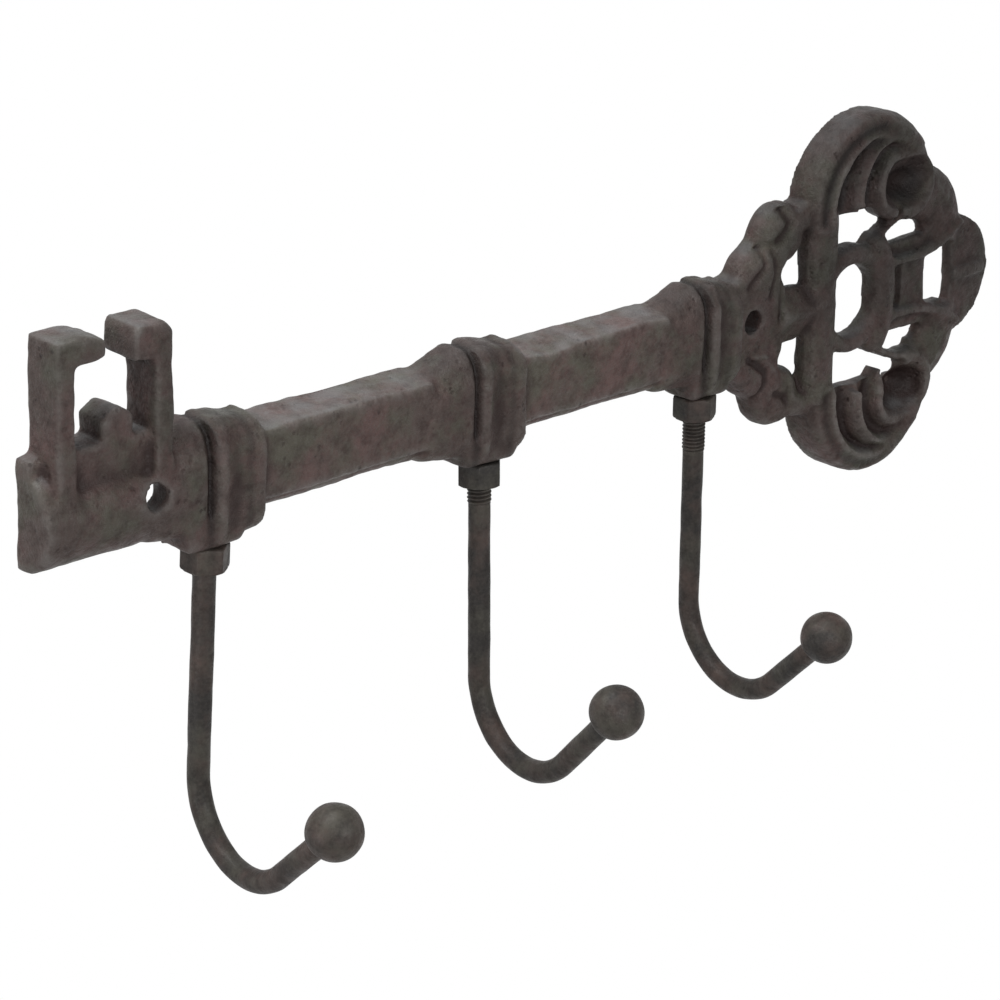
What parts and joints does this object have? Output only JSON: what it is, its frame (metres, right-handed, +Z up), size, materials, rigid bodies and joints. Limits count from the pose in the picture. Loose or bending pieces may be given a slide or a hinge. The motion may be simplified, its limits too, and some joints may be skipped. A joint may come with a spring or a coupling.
{
  "type": "key-shaped wall hook rack",
  "caption": "Cast iron wall rack in the form of an old key, with a notched bit, an openwork scroll bow and ball-ended rod hooks screwed into its collars from below.",
  "frame": {"origin": "on the wall plane and the key's axis, midway along X between the two wall screws", "axes": "+Z up; the wall is the plane Y = 0 and the object stands out towards -Y; +X along the key, from its bit to its bow"},
  "size_m": [0.321, 0.0667, 0.1448],
  "materials": {
    "casting": "matte dark brown rust-like coat over a sandy cast surface",
    "rod": "matte dark brown-grey coat",
    "nut": "matte dark brown-grey coat"
  },
  "bodies": {
    "root": {"key_casting": "casting", "hook_bit_end": "rod", "hook_middle": "rod", "hook_bow_end": "rod", "ball_ends": "rod", "lock_nuts": "nut"}
  },
  "joints": []
}
